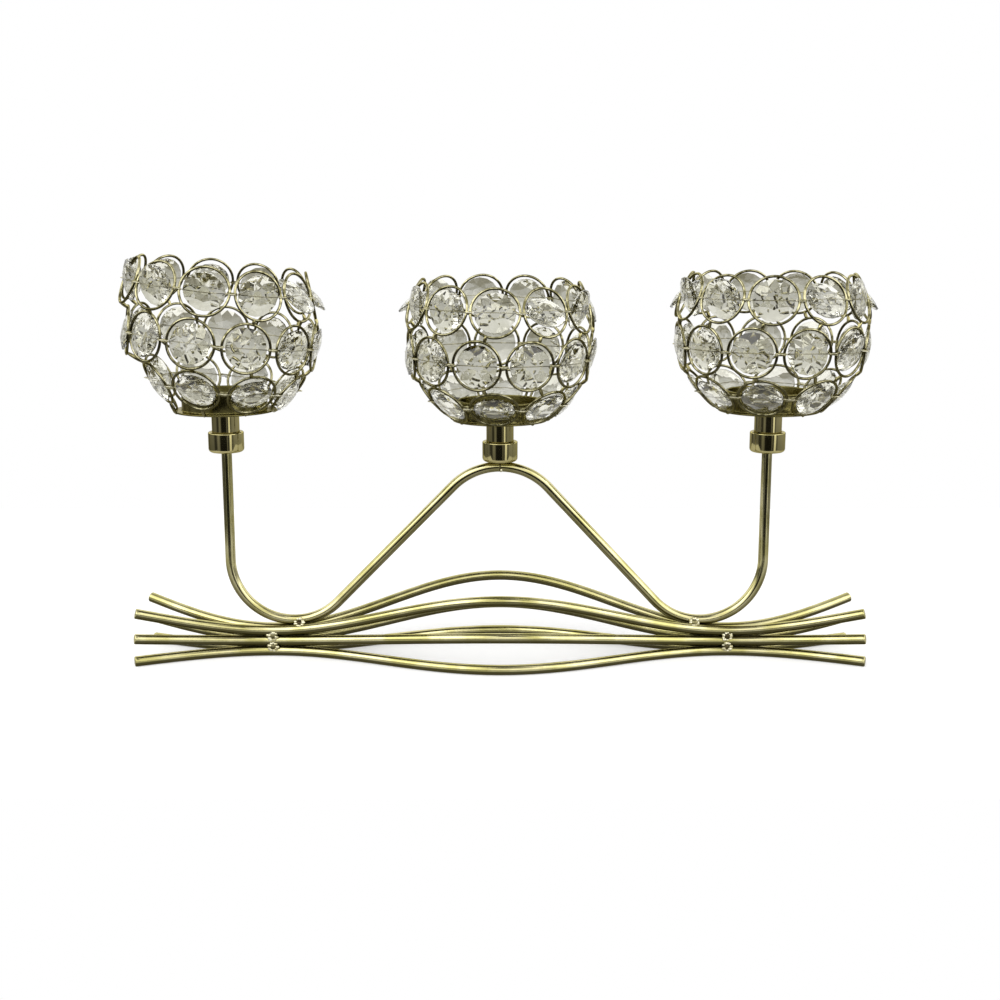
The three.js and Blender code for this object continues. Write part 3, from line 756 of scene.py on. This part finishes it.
def cage_matrix(light, course):
    """Where a course sits on its light, which leans to a side and nods."""
    lean = Matrix.Rotation(math.radians(light["lean"]), 4, "Y")
    nod = Matrix.Rotation(math.radians(light["nod"]), 4, "X")
    foot_z = light["z"] + SOCKET_HEIGHT + SPIGOT_EXPOSED
    place = Matrix.Translation((light["x"], 0, foot_z + light["heights"][course["name"]]))
    return np.array(place @ nod @ lean)


def ring_matrices(light, course):
    cage = cage_matrix(light, course)
    return [cage @ seat_matrix(light, course, seat) for seat in range(course["count"])]


def circle(matrix, steps, wobble=()):
    """The middle line of a ring. Each wobble has a number of turns, a size and a phase."""
    angles = 2 * np.pi * np.arange(steps) / steps
    reach = np.full(steps, RING_RADIUS)
    for turns, size, phase in wobble:
        reach = reach + size * np.sin(turns * angles + phase)
    points = np.stack([reach * np.cos(angles), reach * np.sin(angles), np.zeros(steps)], 1)
    return moved(matrix, points)


def knot_winding(left, right, turns, draw):
    """Binding wire wound round the wires of two neighbouring rings where they meet."""
    one = moved(left, [RING_RADIUS, 0, 0])[0]
    other = moved(right, [-RING_RADIUS, 0, 0])[0]
    across = unit(other - one)
    out = unit(left[:3, 2] + right[:3, 2])
    out = unit(out - across * (out @ across))
    up = np.cross(out, across)
    half_width = np.linalg.norm(other - one) / 2 + ROUND_WIRE_RADIUS + BINDING_RADIUS
    half_depth = ROUND_WIRE_RADIUS + BINDING_RADIUS
    steps = int(turns * BINDING_STEPS_PER_TURN)
    angles = np.linspace(0, 2 * np.pi * turns, steps) + draw.uniform(0, 2 * np.pi)
    pitch = (KNOT_FILL_SHARE * KNOT_HEIGHT - 2 * BINDING_RADIUS) / turns
    points = []
    for step, angle in enumerate(angles):
        cos, sin = math.cos(angle), math.sin(angle)
        x = half_width * math.copysign(abs(cos) ** KNOT_SQUARENESS, cos)
        z = half_depth * math.copysign(abs(sin) ** KNOT_SQUARENESS, sin)
        y = (step / (steps - 1) - 0.5) * turns * pitch + KNOT_WANDER * math.sin(KNOT_WANDER_RATE * angle)
        points.append((one + other) / 2 + across * x + out * z + up * y)
    return tube(points, BINDING_RADIUS, BINDING_SIDES)


def nearest_points(first, second):
    gaps = np.linalg.norm(first[:, None, :] - second[None, :, :], axis=2)
    place = np.unravel_index(np.argmin(gaps), gaps.shape)
    return first[place[0]], second[place[1]]


def flange_edge(light):
    angles = 2 * np.pi * np.arange(FLANGE_SEARCH_STEPS) / FLANGE_SEARCH_STEPS
    reach = flange_radius(light) + FLANGE_DROP_REACH
    base = light["z"] + SOCKET_HEIGHT + SPIGOT_EXPOSED + FLANGE_THICKNESS / 2
    heights = np.full(FLANGE_SEARCH_STEPS, base)
    return np.stack([light["x"] + reach * np.cos(angles), reach * np.sin(angles), heights], 1)


def solder_drop(light, course, ring, seed):
    """A drop from the foot of a ring to the flange, or to the nearest ring of the course below."""
    here = circle(ring, RING_SEARCH_STEPS)
    below = COURSES.index(course) - 1
    if below < 0:
        there = flange_edge(light)
    else:
        centre = ring[:3, 3]
        rings = ring_matrices(light, COURSES[below])
        nearest = min(rings, key=lambda other: np.linalg.norm(other[:3, 3] - centre))
        there = circle(nearest, RING_SEARCH_STEPS)
    one, other = nearest_points(here, there)
    along = unit(other - one)
    side = unit(np.cross(along, ring[:3, 2]))
    out = np.cross(side, along)
    half_length = np.linalg.norm(other - one) / 2 + DROP_OVERLAP
    sizes = np.array([*DROP_RADII, half_length])
    return blob((one + other) / 2, (side, out, along), sizes, DROP_LUMPS, seed, *DROP_FINENESS)


def add_ring_course(light, course):
    rings = ring_matrices(light, course)
    seed = int(RING_SEED + RING_SEED_STEP * abs(light["phases"][course["name"]]))
    draw = np.random.default_rng(seed)
    shape = Shape()
    for seat, ring in enumerate(rings):
        wobble = [(2, draw.uniform(-OVAL, OVAL), draw.uniform(0, LARGEST_PHASE)),
                  (3, draw.uniform(-THREE_SIDED, THREE_SIDED), THREE_SIDED_PHASE)]
        middle_line = circle(ring, RING_STATIONS, wobble)
        shape.add(*tube(middle_line, ROUND_WIRE_RADIUS, WIRE_SIDES, closed=True))
        after = rings[(seat + 1) % len(rings)]
        shape.add(*knot_winding(ring, after, course["turns"], draw), slot=1)
        shape.add(*solder_drop(light, course, ring, seat + DROP_SEED), slot=2)
    node = f"{light['name']}_{course['name']}_rings"
    materials = [wire_gold, binding_wire, joint_solder]
    shape.piece(f"{node}_wire", materials, f"{light['name']}_bowl", node)


def crystal():
    """A round stone with a brilliant cut on both sides: table, stars, kites and halves."""
    half_fold = math.pi / FOLDS
    vertices, faces = [], []
    for sign, table_radius, star_radius, table_height in CRYSTAL_SIDES:
        lean = (GIRDLE_HEIGHT - table_height) / (CRYSTAL_RADIUS - table_radius)
        star_height = table_height + lean * (star_radius * math.cos(half_fold) - table_radius)
        table = len(vertices)
        star = table + FOLDS
        girdle = star + FOLDS
        for count, radius, height, turn in ((FOLDS, table_radius, table_height, 0),
                                            (FOLDS, star_radius, star_height, half_fold),
                                            (2 * FOLDS, CRYSTAL_RADIUS, GIRDLE_HEIGHT, 0)):
            for place in range(count):
                angle = 2 * math.pi * place / count + turn
                vertices.append([radius * math.cos(angle), radius * math.sin(angle), sign * height])
        made = [[table + place for place in range(FOLDS)]]
        for place in range(FOLDS):
            after, before = (place + 1) % FOLDS, (place - 1) % FOLDS
            here = girdle + 2 * place
            ahead = girdle + (2 * place + 2) % (2 * FOLDS)
            made.append([table + place, star + place, table + after])
            made.append([table + place, star + before, here, star + place])
            made.append([star + place, here, here + 1])
            made.append([star + place, here + 1, ahead])
        faces += made if sign > 0 else [face[::-1] for face in made]
    front = 2 * FOLDS
    back = len(vertices) // 2 + front
    for place in range(2 * FOLDS):
        after = (place + 1) % (2 * FOLDS)
        faces.append([front + place, back + place, back + after, front + after])
    return np.array(vertices), faces


CRYSTAL_VERTICES, CRYSTAL_FACES = crystal()


def smooth_loop(route):
    """A closed curve through the points of a route, with four stations from each to the next."""
    count = len(route)
    fine = []
    for place in range(count):
        before, here, after, later = (route[(place + step) % count] for step in (-1, 0, 1, 2))
        for share in (0.0, 0.25, 0.5, 0.75):
            square, cube = share * share, share ** 3
            fine.append(0.5 * (2 * here + (after - before) * share
                               + (2 * before - 5 * here + 4 * after - later) * square
                               + (3 * here - before - 3 * after + later) * cube))
    return fine


def add_crystals(light, course):
    """The stones of a course, each rocked by an angle of its own, and the wire that they hang on."""
    cage = cage_matrix(light, course)
    reach = (WIRE_RADIUS + THREAD_RADIUS + CLEARANCE) / RING_RADIUS
    half_pitch = math.pi / course["count"]
    cos_half, sin_half = math.cos(half_pitch), math.sin(half_pitch)
    stones = Shape()
    route = []
    for seat in range(course["count"]):
        seat_frame = seat_matrix(light, course, seat)
        rock = math.radians(course["rocking"] * math.sin(seat * seat + light["phases"][course["name"]]))
        cos, sin = math.cos(rock), math.sin(rock)
        turn = np.array([[1, 0, 0], [0, cos, -sin], [0, sin, cos]])
        stones.add(moved(cage @ seat_frame, CRYSTAL_VERTICES @ turn.T), CRYSTAL_FACES, smooth=False)
        for share in THREAD_SHARES:
            route.append(moved(seat_frame, [share * CRYSTAL_RADIUS, 0, 0])[0])
        # Between two rings the wire passes over their joint.
        x, y, z = seat_frame[:3, 3]
        over = np.array([x * cos_half - y * sin_half, x * sin_half + y * cos_half, z])
        over = over / (cos_half - reach * sin_half)
        route.append(over + [0, 0, THREAD_WANDER * math.sin(seat * THREAD_WANDER_STEP)])
    thread = Shape()
    thread.add(*tube(moved(cage, smooth_loop(route)), THREAD_RADIUS, THREAD_SIDES, closed=True))
    name = f"{light['name']}_{course['name']}"
    body = f"{light['name']}_bowl"
    stones.piece(f"{name}_crystals_cut", [crystal_glass], body, f"{name}_crystals")
    thread.piece(f"{name}_thread", [thread_wire], body)


# Studio. Places of lamps and floor are in metres.
CAMERA_PLACE = (0.5675, -750.04, 234.0)
CAMERA_TILT = 11.13
SENSOR_WIDTH = 36.0
FOCAL_SHARE = 1.412
FLOOR_CORNERS = [(-0.42, -0.2, 0), (0.42, -0.2, 0), (0.42, 0.4, 0), (-0.42, 0.4, 0)]
FLOOR_Z = -0.0001
FLOOR_COLOUR = (0.80, 0.80, 0.79)
FLOOR_GLOW = 0.38
WHITE = (1.0, 1.0, 1.0)
LAMP_TARGET = (0, 0, 0.1)

# Tones round the horizon that metal reflects, by the share of a turn. The camera's side is 0.5.
WALLS = [
    (0.0, 0.9), (0.11, 0.6), (0.145, 0.06), (0.18, 0.26), (0.29, 0.26), (0.32, 0.06), (0.35, 0.06),
    (0.385, 0.40), (0.41, 0.30), (0.43, 0.02), (0.54, 0.02), (0.555, 0.35), (0.57, 0.02), (0.585, 0.10),
    (0.6, 1.8), (0.618, 1.8), (0.638, 0.05), (0.67, 0.42), (0.82, 0.55), (1.0, 0.9),
]
# How much of the softbox metal reflects, by height from the horizon to straight up.
SOFTBOX_SHARES = [(0.0, 0.0), (0.08, 0.0), (0.24, 1.0), (0.62, 1.0), (0.78, 0.10), (1.0, 0.10)]
SOFTBOX = (1.9, 1.9, 1.82)
# What glass shows, from straight down to straight up, with a little of what metal reflects mixed in.
VEIL = [
    (0.0, (0.12, 0.105, 0.05)), (0.30, (0.17, 0.155, 0.08)), (0.38, (0.42, 0.42, 0.39)),
    (0.46, (0.56, 0.56, 0.54)), (0.60, (0.60, 0.60, 0.58)), (0.76, (0.74, 0.74, 0.72)),
    (0.86, (0.30, 0.29, 0.24)), (1.0, (0.34, 0.34, 0.30)),
]
VEIL_REFLECTION_SHARE = 0.18
DAYLIGHT = (0.70, 0.70, 0.71)


def add_camera():
    data = bpy.data.cameras.new("camera")
    data.sensor_width = SENSOR_WIDTH
    data.lens = SENSOR_WIDTH * FOCAL_SHARE
    data.clip_start, data.clip_end = 0.01, 50.0
    camera = bpy.data.objects.new("camera", data)
    camera.location = [value * MM for value in CAMERA_PLACE]
    camera.rotation_euler = (math.radians(90 - CAMERA_TILT), 0, 0)
    bpy.context.scene.collection.objects.link(camera)
    bpy.context.scene.camera = camera


def add_floor():
    """A patch of white floor. It glows for the camera, reflections and glass, and keeps the shadow."""
    mesh = bpy.data.meshes.new("floor")
    mesh.from_pydata(FLOOR_CORNERS, [], [(0, 1, 2, 3)])
    floor = bpy.data.objects.new("floor", mesh)
    floor.location.z = FLOOR_Z
    bpy.context.scene.collection.objects.link(floor)
    material = bpy.data.materials.new("floor_white")
    material.use_nodes = True
    nodes, links = material.node_tree.nodes, material.node_tree.links
    nodes.clear()
    output = nodes.new("ShaderNodeOutputMaterial")
    path = nodes.new("ShaderNodeLightPath")
    seen = worked_out(nodes, links, "MAXIMUM", path.outputs["Is Camera Ray"], path.outputs["Is Glossy Ray"])
    seen = worked_out(nodes, links, "MAXIMUM", seen, path.outputs["Is Transmission Ray"])
    diffuse = nodes.new("ShaderNodeBsdfDiffuse")
    plug(links, FLOOR_COLOUR, diffuse.inputs["Color"])
    glow = nodes.new("ShaderNodeEmission")
    plug(links, WHITE, glow.inputs["Color"])
    plug(links, worked_out(nodes, links, "MULTIPLY", seen, FLOOR_GLOW), glow.inputs["Strength"])
    both = nodes.new("ShaderNodeAddShader")
    plug(links, diffuse.outputs[0], both.inputs[0])
    plug(links, glow.outputs[0], both.inputs[1])
    plug(links, both.outputs[0], output.inputs["Surface"])
    mesh.materials.append(material)


def grey(stops):
    return [(position, (tone,) * 3) for position, tone in stops]


def add_world():
    """White for the camera and plain grey light on things. Metal and glass see a studio of their own."""
    world = bpy.data.worlds.new("studio")
    bpy.context.scene.world = world
    world.use_nodes = True
    nodes, links = world.node_tree.nodes, world.node_tree.links
    nodes.clear()
    output = nodes.new("ShaderNodeOutputWorld")
    background = nodes.new("ShaderNodeBackground")
    coordinates = nodes.new("ShaderNodeTexCoord")
    axes = nodes.new("ShaderNodeSeparateXYZ")
    path = nodes.new("ShaderNodeLightPath")
    plug(links, coordinates.outputs["Generated"], axes.inputs[0])
    back = worked_out(nodes, links, "MULTIPLY", axes.outputs["Y"], -1.0)
    azimuth = worked_out(nodes, links, "ARCTAN2", axes.outputs["X"], back)
    turn_share = span(nodes, links, azimuth, (-math.pi, math.pi))
    height_share = span(nodes, links, axes.outputs["Z"], (-1.0, 1.0))
    walls = ramp(nodes, links, turn_share, grey(WALLS))
    softbox = ramp(nodes, links, axes.outputs["Z"], grey(SOFTBOX_SHARES))
    veil = ramp(nodes, links, height_share, VEIL)
    reflected = mixed(nodes, links, softbox, walls, SOFTBOX)
    through = mixed(nodes, links, VEIL_REFLECTION_SHARE, veil, reflected)
    seen = mixed(nodes, links, path.outputs["Is Glossy Ray"], DAYLIGHT, reflected)
    seen = mixed(nodes, links, path.outputs["Is Transmission Ray"], seen, through)
    seen = mixed(nodes, links, path.outputs["Is Camera Ray"], seen, WHITE)
    plug(links, seen, background.inputs["Color"])
    plug(links, background.outputs[0], output.inputs["Surface"])


def add_lamp(name, place, size, watts):
    data = bpy.data.lights.new(name, "AREA")
    data.shape = "RECTANGLE"
    data.size = size
    data.size_y = size
    data.energy = watts
    lamp = bpy.data.objects.new(name, data)
    lamp.location = place
    lamp.rotation_euler = (Vector(LAMP_TARGET) - Vector(place)).to_track_quat("-Z", "Y").to_euler()
    bpy.context.scene.collection.objects.link(lamp)


add_camera()
add_base_rods()
add_arms()
add_welds()
add_seam()
for light in LIGHTS:
    add_socket(light)
    add_spigot(light)
    add_cup(light)
    for course in COURSES:
        add_ring_course(light, course)
        add_crystals(light, course)
add_floor()
add_world()
add_lamp("key", place=(-0.7, -0.7, 1.1), size=1.2, watts=9.0)
add_lamp("fill", place=(0.9, -0.5, 0.8), size=1.0, watts=4.0)
bpy.context.scene.view_settings.view_transform = "Standard"
